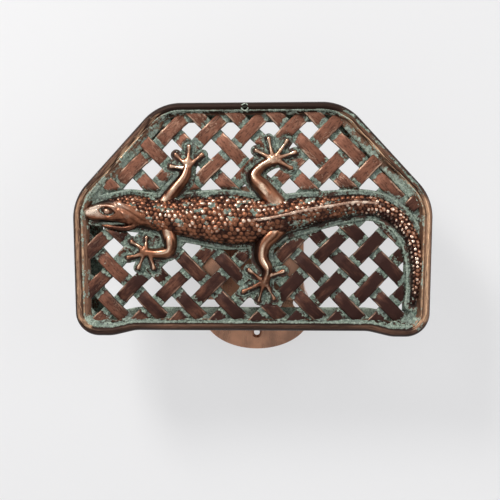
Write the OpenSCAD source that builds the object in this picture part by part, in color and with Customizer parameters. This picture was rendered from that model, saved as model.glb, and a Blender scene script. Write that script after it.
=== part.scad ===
// Wall hose holder: a cast plaque with a woven panel and a lizard in relief,
// screwed to an arched saddle bracket that the coiled hose hangs on.
// Every piece is drawn as it is seen on the wall, x to the right, y up and z out
// from the wall, and is then stood up so that the wall is the plane Y = 0.

/* [Plaque outline] */
// Width of the plaque over its shoulders
plaque_w = 359; // [340:1:420]
// Height of the top edge above the plaque's datum
top_rise = 146; // [130:1:170]
// Drop of the straight part of the bottom edge below the datum
bottom_drop = 81; // [70:1:100]
// Width of the top edge between the slants, before rounding
top_w = 185; // [150:1:220]
// Height of the shoulders above the datum, before rounding
shoulder_rise = 50; // [35:1:70]
// How far each side leans in from the shoulder to the lower corner
side_lean = 4; // [0:0.5:12]
// Drop of the lower corner lobes below the straight bottom edge
lobe_drop = 5.5; // [2:0.5:10]
// Distance in from the lower corner to where the lobe meets the straight edge
lobe_w = 64; // [50:1:90]
// Radius of the two top corners
top_r = 50; // [30:1:60]
// Radius of the two shoulders
shoulder_r = 50; // [30:1:60]
// Radius of the two lower corners
corner_r = 24; // [20:1:30]
// Radius of the gentle turns beside the lobes
lobe_r = 40; // [20:5:50]

/* [Rim] */
// Width of the rim's front face down the left side and slant
face_left = 13; // [10:0.5:18]
// Width of the rim's front face down the right side and slant
face_right = 10; // [9:0.5:14]
// Width of the rim's front face along the top
face_top = 9.5; // [9:0.5:14]
// Width of the rim's front face along the bottom
face_bottom = 9; // [9:0.5:14]
// Width of the rim's front face round the two lower corner lobes
face_lobe = 14; // [10:0.5:16]
// Reach of the rolled back lip along the sides
lip_side = 25; // [18:0.5:28]
// Reach of the rolled back lip along the slants
lip_slant = 20; // [16:0.5:26]
// Reach of the rolled back lip along the top
lip_top = 17; // [14:0.5:24]
// Reach of the rolled back lip along the bottom
lip_bottom = 22; // [14:0.5:26]
// Depth of the rim from its crest to the back of its lip
rim_depth = 34; // [26:1:44]
// Wall thickness of the rim
rim_wall = 2.6; // [2:0.1:3.2]
// Height of the rim's crest above the middle of the woven panel
crest_rise = 9; // [7:0.5:12]
// Diameter of the small hole in the top of the rim
rim_hole_d = 5.5; // [3:0.5:6.5]
// Sideways place of the small hole in the top of the rim
rim_hole_x = -6; // [-40:1:40]

/* [Woven panel] */
// Distance between neighbouring strips, along a strip
weave_pitch = 27.75; // [24:0.25:34]
// Width of one strip
strip_w = 13; // [9:0.5:15]
// Thickness of one strip
strip_t = 4; // [3:0.1:5]
// Overlap of two strips where they cross and fuse
strip_fuse = 0.2; // [0.1:0.1:0.6]
// Sideways place of the crossing that the weave starts from
weave_x = -20.75; // [-40:0.25:40]
// Height of the crossing that the weave starts from
weave_y = -18; // [-40:0.5:40]
// Thickness of the flat web that the lizard lies on
web_t = 3.2; // [2.4:0.1:4]
// Margin of the web round the lizard's body
web_margin = 6.5; // [4:0.5:9]
// Margin of the web round the legs and toes
limb_margin = 3; // [2:0.5:5]
// Reach of the solid web in each lower corner, along both edges of the outline
corner_web = 43; // [36:1:56]
// Width of the thin web that ties the strips' ends along the rim
edge_web = 2.5; // [1.5:0.5:4]

/* [Lizard] */
// Height of the lizard's back above its web
lizard_h = 16; // [10:1:20]
// Height of the eye above the side of the head
eye_r = 3.6; // [2.5:0.1:5]
// Radius of a toe at its root
toe_r = 2.1; // [1.6:0.1:2.8]
// Radius of the pad at a toe's tip
toe_tip_r = 2.6; // [2:0.1:3.4]
// Distance of the tail's middle line from the rim's right face
tail_inset = 6.1; // [5.5:0.1:9]

/* [Saddle bracket] */
// Distance from the wall to the middle of the woven panel
panel_out = 117; // [95:1:150]
// Height of the upper wall screws above the plaque's datum
hole_rise = 18; // [10:1:24]
// Outer radius of the saddle's crown
saddle_r = 52; // [44:1:60]
// Height of the centre of the crown above the plaque's datum
crown_rise = 12; // [4:1:20]
// Drop of the saddle's legs below the plaque's datum
leg_drop = 51; // [44:1:56]
// Outward flare of each leg at its foot
leg_flare = 5; // [2:0.5:8]
// Wall thickness of the saddle
saddle_wall = 4; // [3:0.5:6]
// Thickness of the wall plate
plate_t = 5; // [4:0.5:8]
// Width of the flange that the plaque is screwed to
flange_w = 22; // [20:0.5:26]
// Thickness of that flange
flange_t = 4; // [3:0.5:6]
// Distance from the flange's front to the middle of the woven panel
flange_gap = 13; // [12:0.5:15]
// Half width of the round foot below the plaque
foot_a = 59.5; // [46:0.5:70]
// Half height of the round foot
foot_b = 39; // [30:0.5:48]
// Drop of the foot's centre below the plaque's datum
foot_drop = 71; // [66:1:80]
// Distance of the two necks from the middle
neck_x = 34; // [26:1:40]
// Width of each neck
neck_w = 12; // [9:1:16]
// Height of the window between the necks
window_h = 11; // [8:0.5:13]

/* [Fasteners] */
// Distance between the two upper wall screws
wall_hole_pitch = 52; // [36:1:60]
// Drop of the lower wall screw below the plaque's datum
low_hole_drop = 92; // [84:1:100]
// Diameter of a hole for a wall screw
wall_hole_d = 6.5; // [4:0.5:8]
// Diameter of the countersink round it
wall_sink_d = 12; // [9:0.5:14]
// Diameter of the machine screws that hold the plaque
screw_d = 5; // [4:0.5:6]
// Length of those screws under the head
screw_l = 14; // [12:1:15]
// Diameter of their pan heads
head_d = 9.5; // [8:0.5:11]
// Height of their pan heads
head_h = 3.4; // [2.5:0.1:4]
// Outer diameter of the lock washers
washer_d = 9.2; // [8:0.1:11]
// Thickness of the lock washers
washer_t = 1.2; // [0.8:0.1:1.6]
// Distance of the top machine screw in from the outside of the crown
screw_inset = 14; // [10:0.5:16]
// Gap left round a screw in its holes
screw_gap = 0.25; // [0.15:0.05:0.5]
// Room left round a screw's head and washer inside the saddle
head_room = 1; // [0.5:0.1:2]
// Diameter of the cast bosses that the screws thread into, behind the panel
boss_d = 12; // [10:0.5:13]

/* [Hidden] */
tiny = 0.01;

// Heights in the wall frame, whose zero is the line through the upper wall screws
datum_y = -hole_rise;

// Outward places, measured from the wall
web_front = panel_out + web_t / 2;
web_back = panel_out - web_t / 2;
crest_out = panel_out + crest_rise;
weave_swing = (strip_t - strip_fuse) / 2;
strip_back = panel_out - weave_swing - strip_t / 2;
flange_front = panel_out - flange_gap;
flange_back = flange_front - flange_t;

// The outline's corners, clockwise from the top right: place, radius, then the face
// width and the lip of the edge that comes after
low_x = plaque_w / 2 - side_lean;
low_y = -bottom_drop - lobe_drop;
lobe_x = plaque_w / 2 - lobe_w;
lobe_run = 12 + 2 * lobe_drop;
face_turn = (face_lobe + face_bottom) / 2;
corners = [
  [[top_w / 2, top_rise], top_r, face_right, lip_slant],
  [[plaque_w / 2, shoulder_rise], shoulder_r, face_right, lip_side],
  [[low_x, low_y], corner_r, face_lobe, lip_bottom],
  [[lobe_x + lobe_run, low_y], lobe_r, face_turn, lip_bottom],
  [[lobe_x, -bottom_drop], lobe_r, face_bottom, lip_bottom],
  [[-lobe_x, -bottom_drop], lobe_r, face_turn, lip_bottom],
  [[-lobe_x - lobe_run, low_y], lobe_r, face_lobe, lip_bottom],
  [[-low_x, low_y], corner_r, face_left, lip_side],
  [[-plaque_w / 2, shoulder_rise], shoulder_r, face_left, lip_slant],
  [[-top_w / 2, top_rise], top_r, face_top, lip_top]
];

// One corner as stations [place, inward normal, face width, lip], spread over its arc
function unit(v) = v / norm(v);
function inward(d) = [d[1], -d[0]];
function turn_of(d1, d2) = asin(max(-1, min(1, d1[1] * d2[0] - d1[0] * d2[1])));
function corner_stations(i) =
  let(n = len(corners),
      c = corners[i],
      before = corners[(i + n - 1) % n],
      after = corners[(i + 1) % n],
      d1 = unit(c[0] - before[0]),
      d2 = unit(after[0] - c[0]),
      turn = turn_of(d1, d2),
      side = turn < 0 ? -1 : 1,
      r = c[1],
      start = c[0] - d1 * r * tan(abs(turn) / 2),
      centre = start + inward(d1) * r * side,
      a1 = atan2(inward(d1)[1], inward(d1)[0]),
      steps = max(3, round(abs(turn) / 7)))
  [for (k = [0:steps])
    let(t = k / steps,
        a = a1 - turn * t,
        normal = [cos(a), sin(a)],
        ease = t * t * (3 - 2 * t))
    [centre - normal * r * side, normal,
     before[2] + (c[2] - before[2]) * ease,
     before[3] + (c[3] - before[3]) * ease]];
stations = [for (i = [0:len(corners) - 1]) each corner_stations(i)];
seat_outline = [for (s = stations) s[0] + s[1] * s[2]];

// The rim's section at a station: distance in from the outline, depth below the crest
function rim_section(face, lip) =
  let(w = rim_wall, d = rim_depth, seat = crest_rise - weave_swing - strip_t / 2,
      deep = crest_rise + weave_swing + strip_t / 2, in = face - 6)
  [[face, seat - 0.6], [6 + in * 0.72, seat * 0.52], [6 + in * 0.34, seat * 0.16], [5.6, 0],
   [3.2, 1], [1.2, 3], [0.2, 6], [0, 9.5], [0, d - 8], [1.2, d - 3.6], [4.6, d - 0.8],
   [9, d], [lip, d - 1],
   [lip, d - 1 - w], [9.4, d - w], [5.8, d - 0.9 - w], [1 + w, d - 5.6], [w, d - 9],
   [w, 9.5], [w + 0.4, 6.4], [w + 1.4, 4.2], [6.2, w + 0.3], [5.6 + in * 0.2, w + seat * 0.2],
   [max(face - w, 6.3), seat + w], [max(face - w, 6.3), deep], [face, deep]];

// A tube of rings, closed on itself
module ring_loop(rings) {
  n = len(rings);
  m = len(rings[0]);
  points = [for (r = rings) each r];
  faces = [for (i = [0:n - 1], k = [0:m - 1])
    let(j = (i + 1) % n, l = (k + 1) % m)
    each [[i * m + k, j * m + k, j * m + l], [i * m + k, j * m + l, i * m + l]]];
  polyhedron(points, faces, convexity = 6);
}

// A smooth run through hand-chosen stations, by the Catmull-Rom rule
function between(p0, p1, p2, p3, t) =
  (2 * p1 + (p2 - p0) * t + (2 * p0 - 5 * p1 + 4 * p2 - p3) * t * t
   + (3 * p1 - p0 - 3 * p2 + p3) * t * t * t) / 2;
function smooth_run(list, steps) =
  let(n = len(list))
  concat([for (i = [0:n - 2], k = [0:steps - 1])
      between(list[max(i - 1, 0)], list[i], list[i + 1], list[min(i + 2, n - 1)], k / steps)],
    [list[n - 1]]);
function heading(run, i) =
  let(a = run[max(i - 1, 0)], b = run[min(i + 1, len(run) - 1)])
  unit([b[0] - a[0], b[1] - a[1]]);
function left_of(d) = [-d[1], d[0]];

// A run's flat outline, with a margin round it
function run_outline(run, margin) =
  let(n = len(run),
      lefts = [for (i = [0:n - 1]) [run[i][0], run[i][1]] + left_of(heading(run, i)) * (run[i][2] + margin)],
      rights = [for (i = [n - 1:-1:0]) [run[i][0], run[i][1]] - left_of(heading(run, i)) * (run[i][2] + margin)],
      head = heading(run, n - 1),
      tail = heading(run, 0),
      tip_r = run[n - 1][2] + margin,
      root_r = run[0][2] + margin)
  concat(lefts,
    [for (a = [60, 0, -60]) [run[n - 1][0], run[n - 1][1]] + (head * cos(a) + left_of(head) * sin(a)) * tip_r],
    rights,
    [for (a = [-60, 0, 60]) [run[0][0], run[0][1]] - (tail * cos(a) - left_of(tail) * sin(a)) * root_r]);

// The lizard is drawn in an opening of this left, right, top and bottom, and each
// place in it is then spread over the opening that the rim leaves
drawn = [-166.5, 163.4, 136.5, -72];
opening = [face_left - plaque_w / 2, plaque_w / 2 - face_right - tail_inset,
  top_rise - face_top, face_bottom - bottom_drop];
function spread(p) = [
  for (i = [0:len(p) - 1])
    i == 0 ? opening[0] + (p[0] - drawn[0]) * (opening[1] - opening[0]) / (drawn[1] - drawn[0])
    : i == 1 ? opening[3] + (p[1] - drawn[3]) * (opening[2] - opening[3]) / (drawn[2] - drawn[3])
    : p[i]];
function spread_all(list) = [for (p = list) spread(p)];

// The lizard's spine from snout to tail tip: x, y, half width, height above the web
spine = spread_all([
  [-166.5, 37.5, 3, 6], [-160, 38, 7.5, 10], [-150, 38.7, 9.7, 12.5], [-136, 39, 12, 13.5],
  [-122, 38.8, 14.8, 13.5], [-106, 36.8, 14.6, 13], [-90, 34.5, 15.6, 14], [-70, 32.3, 18, 15.4],
  [-46, 31, 21.3, 16], [-22, 29.4, 23.6, 16], [4, 28.4, 20.8, 15.4], [26, 31, 17, 14],
  [52, 36, 14.4, 12.6], [80, 40.4, 11.4, 10.8], [106, 43.6, 9.4, 9.2], [128, 40.8, 8.2, 8],
  [146, 29.2, 7.2, 7], [157.5, 12.5, 6.2, 6], [162.6, -7, 5.2, 5], [163.4, -27, 4.1, 4],
  [161, -46, 2.6, 2.8], [158.8, -54, 1.4, 1.8]
]);
body_run = smooth_run(spine, 2);
// The middle of the eye, and its height above the web
eye = spread([-145.5, 39.5, 10.6]);

// Each leg from the body to the wrist or ankle: x, y, radius
legs = [
  spread_all([[-88, 44, 7.5], [-79, 56, 7], [-67, 71, 6], [-63.5, 82, 4.6]]),
  spread_all([[-83, 20, 7.5], [-80.5, 8, 7], [-82, -1.5, 6.2], [-94, -4, 4.8], [-105, -3.5, 4]]),
  spread_all([[26, 45, 9], [14, 59, 8.6], [3, 72, 6.8], [10, 82, 5], [21, 87.5, 4.4]]),
  spread_all([[22, 18, 8.4], [11, 6, 8.2], [9, -9, 7.2], [15, -21, 5.4], [13.5, -31, 4.6]])
];
// The tips of each foot's toes
toes = [
  spread_all([[-80, 82], [-75, 94], [-62, 102.5], [-49, 93]]),
  spread_all([[-119.5, 7], [-104, 11.5], [-123, -8.5], [-111.5, -19], [-97, -19]]),
  spread_all([[5, 97], [17.5, 109], [35.5, 108], [44, 95.5], [40.5, 80]]),
  spread_all([[-2.5, -21], [-8.5, -43], [8.5, -51.5], [23, -49], [32, -22]])
];
palms = spread_all([[-63, 87], [-108, -3.5], [24, 89], [13.5, -33]]);
palm_r = 5.4;
function toe_run(foot, k) =
  let(root = palms[foot], tip = toes[foot][k])
  [[root[0], root[1], toe_r], [tip[0], tip[1], toe_tip_r]];

// Puts a piece drawn on the wall's face up on the wall
module stand() rotate([90, 0, 0]) children();
// Moves from the wall frame to the plaque's datum
module at_plaque(out = 0) translate([0, datum_y, out]) children();

// Where the machine screws go through, measured from the plaque's datum: under
// two crossings of the weave, and under the lizard's back
weave_step = weave_pitch / sqrt(2);
screw_places = [
  [weave_x - weave_step, weave_y - weave_step],
  [weave_x + 3 * weave_step, weave_y - weave_step],
  [weave_x + weave_step, crown_rise + saddle_r - screw_inset]
];
module at_screws() at_plaque() for (p = screw_places) translate([p[0], p[1], 0]) children();

// The middle height of a strip at the points along it that shape its wave, which
// stays level a little past the strip that it crosses
strip_past = 0.7;
strip_flat = strip_w / 2 + strip_past;
function wave_points(first, last, over) =
  [for (i = [first:last], k = [0:4])
    let(sign = (i + over) % 2 == 0 ? 1 : -1,
        s = k == 0 ? -strip_flat : strip_flat + (k - 1) * (weave_pitch - 2 * strip_flat) / 4)
    [i * weave_pitch + s, sign * weave_swing * (k == 0 ? 1 : cos((k - 1) * 45))]];
module strip(first, last, over) {
  wave = wave_points(first, last, over);
  n = len(wave);
  edge = concat([for (p = wave) [p[0], p[1] + strip_t / 2]],
    [for (i = [n - 1:-1:0]) [wave[i][0], wave[i][1] - strip_t / 2]]);
  translate([0, strip_w / 2, 0]) rotate([90, 0, 0]) linear_extrude(strip_w) polygon(edge);
}
// All strips of one slant, each just long enough to cross the plaque
strip_rows = ceil(plaque_w / weave_pitch);
strip_spare = 6;
module strips(slant) {
  half_w = plaque_w / 2 + strip_spare;
  for (j = [-strip_rows:strip_rows]) {
    low = slant < 0 ? max((-half_w - weave_x) / weave_step - j, (weave_y - top_rise) / weave_step + j)
      : max((-half_w - weave_x) / weave_step + j, (low_y - weave_y) / weave_step - j);
    high = slant < 0 ? min((half_w - weave_x) / weave_step - j, (weave_y - low_y) / weave_step + j)
      : min((half_w - weave_x) / weave_step + j, (top_rise - weave_y) / weave_step - j);
    if (high - low > 0.5) translate([weave_x, weave_y, 0]) rotate([0, 0, 45 * slant])
      translate([0, j * weave_pitch, 0]) strip(floor(low) - 1, ceil(high) + 1, slant < 0 ? j : j + 1);
  }
}

// The web that carries the lizard, in outline
module lizard_web_outline() offset(r = -3) offset(r = 3) {
  polygon(run_outline(body_run, web_margin));
  for (leg = legs) polygon(run_outline(smooth_run(leg, 2), limb_margin + 1));
  for (f = [0:len(toes) - 1], k = [0:len(toes[f]) - 1]) polygon(run_outline(toe_run(f, k), limb_margin));
}
module corner_webs() for (side = [-1, 1]) polygon([
  [side * low_x, low_y], [side * (low_x - corner_web), low_y], [side * low_x, low_y + corner_web]]);

// A band inside the rim's face, where the strips' ends run out
module edge_band() difference() {
  polygon(seat_outline);
  polygon([for (s = stations) s[0] + s[1] * (s[2] + edge_web)]);
}

// A piece of the plaque's opening, drawn at the web's thickness
module web_slab(grow = 0) translate([0, 0, panel_out - web_t / 2 - grow]) linear_extrude(web_t + 2 * grow) children();

module woven_panel() color("sienna") stand() at_plaque() {
  difference() {
    intersection() {
      translate([0, 0, panel_out]) union() { strips(-1); strips(1); }
      web_slab(strip_t) polygon(seat_outline);
    }
    web_slab(strip_t) lizard_web_outline();
  }
  web_slab() intersection() {
    polygon(seat_outline);
    union() { lizard_web_outline(); corner_webs(); edge_band(); }
  }
}

// The bosses stand on the flange and reach the back of a crossing, or of the web
module screw_bosses() color("tan") stand() for (i = [0:len(screw_places) - 1])
  at_plaque(flange_front) translate(screw_places[i]) difference() {
    tall = (i < 2 ? strip_back : web_back) - flange_front;
    cylinder(d = boss_d, h = tall, $fn = 48);
    translate([0, 0, -tiny]) cylinder(d = screw_d + 2 * screw_gap, h = tall + 2 * tiny, $fn = 48);
  }

module front_rim() color("peru") stand() at_plaque(crest_out) difference() {
  ring_loop([for (s = stations) [for (q = rim_section(s[2], s[3]))
    let(p = s[0] + s[1] * q[0]) [p[0], p[1], -q[1]]]]);
  translate([rim_hole_x, top_rise - 5.6, -rim_depth / 3]) cylinder(d = rim_hole_d, h = rim_depth, $fn = 32);
}

// A rounded back over a run, flat underneath: each ring is half an ellipse
module relief(run, points) {
  n = len(run);
  rings = [for (i = [0:n - 1])
    let(c = run[i], side = left_of(heading(run, i)))
    [for (k = [0:points]) let(a = 180 * k / points)
      [c[0] + side[0] * c[2] * cos(a), c[1] + side[1] * c[2] * cos(a), c[3] * pow(sin(a), 0.8)]]];
  m = points + 1;
  polyhedron([for (r = rings) each r],
    concat(
      [for (i = [0:n - 2], k = [0:m - 1]) let(l = (k + 1) % m)
        each [[i * m + k, (i + 1) * m + l, (i + 1) * m + k], [i * m + k, i * m + l, (i + 1) * m + l]]],
      [[for (k = [0:m - 1]) k]],
      [[for (k = [m - 1:-1:0]) (n - 1) * m + k]]),
    convexity = 6);
}
module knob(p, r, up) translate([p[0], p[1], up]) sphere(r = r, $fn = 14);
module limb(a, b) hull() { knob(a, a[2], a[2] * 0.35); knob(b, b[2], b[2] * 0.35); }

module lizard() color("chocolate") stand() at_plaque(web_front) intersection() {
  union() {
    relief(body_run, 10);
    for (leg = legs, i = [0:len(leg) - 2]) limb(leg[i], leg[i + 1]);
    for (f = [0:len(palms) - 1]) {
      last = legs[f][len(legs[f]) - 1];
      limb(last, [palms[f][0], palms[f][1], palm_r]);
      for (k = [0:len(toes[f]) - 1]) limb(toe_run(f, k)[0], toe_run(f, k)[1]);
    }
    knob(eye, eye_r, eye[2]);
  }
  translate([0, 0, lizard_h]) cube([2 * plaque_w, 2 * plaque_w, 2 * lizard_h], center = true);
}

// The saddle's outline, grown or shrunk by its wall
module saddle_outline(grow) {
  r = saddle_r + grow;
  translate([0, crown_rise]) circle(r = r, $fn = 96);
  polygon([[-r, crown_rise], [-r, -leg_drop + 14], [-r - leg_flare * 0.35, -leg_drop + 6],
    [-r - leg_flare, -leg_drop], [r + leg_flare, -leg_drop], [r + leg_flare * 0.35, -leg_drop + 6],
    [r, -leg_drop + 14], [r, crown_rise]]);
}
// The round foot, level with the window's lower edge
foot_top = -leg_drop - 3 - window_h;
module foot_outline() intersection() {
  translate([0, -foot_drop]) scale([foot_a / foot_b, 1]) circle(r = foot_b, $fn = 96);
  translate([-foot_a, -foot_drop - foot_b]) square([2 * foot_a, foot_top + foot_drop + foot_b]);
}
// The plate's necks, hollowed on both sides by round-ended cuts
module neck_outline() difference() {
  half = neck_x + neck_w / 2 + window_h / 2;
  translate([-half, foot_top - 2]) square([2 * half, window_h + 8]);
  translate([0, foot_top + window_h / 2]) {
    for (side = [-1, 1]) {
      translate([side * (neck_x - neck_w / 2 - window_h / 2), 0]) circle(d = window_h, $fn = 40);
      translate([side * half, 0]) circle(d = window_h, $fn = 40);
    }
    reach = neck_x - neck_w / 2 - window_h / 2;
    translate([-reach, -window_h / 2]) square([2 * reach, window_h]);
  }
}
module wall_hole(p) translate([p[0], p[1], -tiny]) {
  cylinder(d = wall_hole_d, h = plate_t + 2 * tiny, $fn = 48);
  translate([0, 0, plate_t - (wall_sink_d - wall_hole_d) / 2])
    cylinder(d1 = wall_hole_d, d2 = wall_sink_d, h = (wall_sink_d - wall_hole_d) / 2 + 2 * tiny, $fn = 48);
}
// What a washer and a head take up behind the flange, which eats into the saddle's wall
// where a screw comes close to it
module head_space() translate([0, 0, flange_back - washer_t - head_h - head_room])
  cylinder(d = max(head_d, washer_d) + 2 * head_room, h = washer_t + head_h + head_room, $fn = 48);
module saddle_bracket() color("darkgoldenrod") stand() difference() {
  at_plaque() union() {
    linear_extrude(plate_t) saddle_outline(0);
    linear_extrude(plate_t) foot_outline();
    linear_extrude(plate_t) neck_outline();
    difference() {
      linear_extrude(flange_front) saddle_outline(0);
      translate([0, 0, plate_t]) linear_extrude(flange_back - plate_t) saddle_outline(-saddle_wall);
      translate([0, 0, plate_t]) linear_extrude(flange_front) saddle_outline(-flange_w);
      translate([-2 * saddle_r, -2 * leg_drop, plate_t]) cube([4 * saddle_r, leg_drop + tiny, flange_front]);
    }
  }
  at_screws() translate([0, 0, flange_back - 1]) cylinder(d = screw_d + 2 * screw_gap, h = flange_t + 2, $fn = 48);
  at_screws() head_space();
  for (side = [-1, 1]) wall_hole([side * wall_hole_pitch / 2, 0]);
  wall_hole([0, datum_y - low_hole_drop]);
}

module panel_screws() color("silver") stand() at_screws() translate([0, 0, flange_back - washer_t]) {
  cylinder(d = screw_d, h = screw_l, $fn = 40);
  rotate([180, 0, 0]) difference() {
    cylinder(d1 = head_d, d2 = head_d * 0.8, h = head_h, $fn = 40);
    translate([-head_d, -0.6, head_h - 1.3]) cube([2 * head_d, 1.2, 2]);
  }
}
module lock_washers() color("gray") stand() at_screws() translate([0, 0, flange_back - washer_t]) difference() {
  cylinder(d = washer_d, h = washer_t, $fn = 40);
  translate([0, 0, -tiny]) cylinder(d = screw_d + 2 * screw_gap, h = washer_t + 2 * tiny, $fn = 40);
}

front_rim();
woven_panel();
lizard();
screw_bosses();
saddle_bracket();
panel_screws();
lock_washers();
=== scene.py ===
"""Looks of the wall hose holder: a cast plaque with a woven panel and a lizard in relief,
in antique copper with pale verdigris, on an arched saddle bracket of satin copper."""

import math

import bmesh
import bpy
import numpy as np
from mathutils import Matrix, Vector


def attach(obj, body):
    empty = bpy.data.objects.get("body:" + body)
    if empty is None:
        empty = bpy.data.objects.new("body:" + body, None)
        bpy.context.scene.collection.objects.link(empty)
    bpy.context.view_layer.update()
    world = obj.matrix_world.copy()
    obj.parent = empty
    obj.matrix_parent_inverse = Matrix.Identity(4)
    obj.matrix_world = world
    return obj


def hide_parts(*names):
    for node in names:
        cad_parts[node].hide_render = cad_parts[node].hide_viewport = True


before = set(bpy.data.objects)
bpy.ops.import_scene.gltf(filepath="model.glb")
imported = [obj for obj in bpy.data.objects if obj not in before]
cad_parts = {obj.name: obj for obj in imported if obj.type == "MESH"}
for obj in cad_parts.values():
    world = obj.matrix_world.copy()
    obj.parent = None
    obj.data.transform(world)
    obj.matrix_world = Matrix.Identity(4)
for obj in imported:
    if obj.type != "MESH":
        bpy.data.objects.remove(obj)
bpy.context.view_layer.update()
scene = bpy.context.scene

# ---- sizes, in millimetres
# Places are drawn as seen on the wall: x to the right, y up from the plaque's datum, and
# out from the wall. The datum lies 18 below the line through the upper wall screws.
MM = 0.001
DATUM = -18.0
PANEL_OUT = 117.0
CREST_OUT = 126.0
WEB_T = 3.2
WEB_FRONT = PANEL_OUT + WEB_T / 2
WEB_BACK = PANEL_OUT - WEB_T / 2
FLANGE_FRONT = 104.0
RIM_DEPTH = 34.0
RIM_WALL = 2.6
PITCH = 27.75
STEP = PITCH / math.sqrt(2)
WEAVE_START = np.array([-20.75, -18.0])
STRIP_T = 4.0
SWING = 1.9
STRIP_FLAT = 7.2
STRIP_BACK = PANEL_OUT - SWING - STRIP_T / 2
WEB_MARGIN = 6.5
LIMB_MARGIN = 3.0
LOW_CORNER = (175.5, -86.5)
CORNER_REACH = 43
# Places of the bosses from the start of the weave, and how far out each one reaches
BOSSES = [(-STEP, -STEP, STRIP_BACK), (3 * STEP, -STEP, STRIP_BACK), (STEP, 68.0, WEB_BACK)]
# The small hole in the top of the rim
HOLE = (-6.0, 140.4)
HOLE_R = 2.75

# The outline's corners, clockwise from the top right: x, y, radius, then the face width
# and the lip of the edge that comes after
CORNERS = [
    (92.5, 146, 50, 10, 20), (179.5, 50, 50, 10, 25), (175.5, -86.5, 24, 14, 22),
    (138.5, -86.5, 40, 11.5, 22), (115.5, -81, 40, 9, 22), (-115.5, -81, 40, 11.5, 22),
    (-138.5, -86.5, 40, 14, 22), (-175.5, -86.5, 24, 13, 25), (-179.5, 50, 50, 13, 20),
    (-92.5, 146, 50, 9.5, 17)]

# The spine from snout to tail tip: x, y, half width, height above the web
SPINE = [
    (-166.5, 37.5, 3, 6), (-160, 38, 7.5, 10), (-150, 38.7, 9.7, 12.5), (-136, 39, 12, 13.5),
    (-122, 38.8, 14.8, 13.5), (-106, 36.8, 14.6, 13), (-90, 34.5, 15.6, 14),
    (-70, 32.3, 18, 15.4), (-46, 31, 21.3, 16), (-22, 29.4, 23.6, 16), (4, 28.4, 20.8, 15.4),
    (26, 31, 17, 14), (52, 36, 14.4, 12.6), (80, 40.4, 11.4, 10.8), (106, 43.6, 9.4, 9.2),
    (128, 40.8, 8.2, 8), (146, 29.2, 7.2, 7), (157.5, 12.5, 6.2, 6), (162.6, -7, 5.2, 5),
    (163.4, -27, 4.1, 4), (161, -46, 2.6, 2.8), (158.8, -54, 1.4, 1.8)]
# Each leg as x, y and radius from the body to the wrist or ankle, then the palm, then the
# root and tip of each toe
LEGS = [
    ([(-88, 44, 7.5), (-79, 56, 7), (-67, 71, 6), (-63.5, 82, 4.6)], (-63, 86),
     [(-65, 80.5, -80, 82.5), (-65.5, 85, -75, 94), (-62.5, 87, -61.8, 102.3),
      (-60, 84.5, -48.8, 94)]),
    ([(-83, 20, 7.5), (-80.5, 8, 7), (-82, -1.5, 6.2), (-94, -4, 4.8), (-105, -3, 4.2)],
     (-107, -2.5),
     [(-109, 1, -119.2, 7.5), (-105, 1, -104.3, 11.3), (-109, -5, -123, -8.3),
      (-107, -6, -112.5, -18.5), (-101, -5, -97, -18.7)]),
    ([(26, 45, 9), (14, 59, 8.6), (3, 72, 6.8), (10, 82, 5), (20, 88, 4.6)], (23, 89.5),
     [(18, 91, 5, 98), (21, 93, 17.4, 109.5), (25.5, 92.5, 36, 107.6), (28, 90.5, 43.8, 96),
      (28, 87, 40, 80.3)]),
    ([(33, 22, 6.5), (23, 16, 8.4), (12.5, 5.5, 8.2), (10.5, -8, 7.4), (16, -20, 5.8),
      (14.5, -29.5, 5)], (13.5, -32.5),
     [(9.5, -30, -2, -20.4), (9.5, -34, -7.6, -42), (12, -36, 8, -50.4),
      (16.5, -36, 22.8, -48.8), (17.5, -27, 31.8, -21.8)])]
PALM_R = 5.4
TOE_R = 2.1
TOE_TIP_R = 2.6
# Along each toe: share of its length, height above the web and radius
TOE_SHAPE = np.array([(0, 3.2, 2.5), (0.3, 3.0, 2.0), (0.65, 2.3, 1.6), (0.86, 2.1, 2.1),
                      (1, 2.0, 2.4)])
# The lower jaw and the pale gum over it: x, y, height above the web and radius
JAW = [(-149, 23.7, 1.4, 1.1), (-142, 22.4, 2.2, 1.9), (-134, 21.2, 2.8, 2.5),
       (-127, 20.6, 3.2, 3.0), (-120, 21.8, 3.6, 3.4), (-113.5, 25.5, 4, 3.5)]
GUM = [(-150, 26.4, 2.6, 0.9), (-138, 25.8, 3.4, 1.1), (-125, 25.6, 3.4, 1.1)]
EYE = (-142.6, 37.3)
BROW = [(-160, 40.8), (-152, 42.8), (-143, 43.6), (-135, 41.8)]
# Folds of the head: height, width of the bell and the line that it lies on
FOLDS = [
    (1.1, 1.5, BROW),
    (0.9, 1.5, [(-164, 35), (-152, 31.6), (-136, 30.2), (-125, 31.5)]),
    (1.5, 2.2, [(-131, 45), (-122, 40), (-112, 34), (-104, 30)]),
    (1.1, 1.7, [(-130, 38), (-122, 34), (-113, 29)]),
    (1.2, 1.8, [(-126, 35), (-121, 28), (-121, 22)]),
    (-0.8, 1.1, [(-128, 41), (-120, 37), (-111, 31)])]

# How finely the meshes are laid out
STATION_STEP = 1.6
STRIP_STEP = 1.25
WEB_STEP = 1.0
BODY_STEP = 0.5
BODY_COLUMNS = 101
# Distance between two rows of a hexagon lattice of unit pitch
BEAD_ROW = 0.87
SKIN_VOXEL = 0.6
TURNED_SIDES = 40
EDGE_ANGLE = math.radians(35)


# ---- shader helpers
def put(thing, **settings):
    """Sets what is named on an object, node or modifier, and returns it."""
    for key, value in settings.items():
        setattr(thing, key, value)
    return thing


def fill(tree, sockets, values):
    """Links each socket to another one, or sets it to a number, a vector or a colour."""
    for key, value in values.items():
        socket = sockets[key]
        if isinstance(value, bpy.types.NodeSocket):
            tree.links.new(value, socket)
        elif socket.type == "RGBA" and len(value) == 3:
            socket.default_value = (*value, 1)
        else:
            socket.default_value = value


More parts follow.
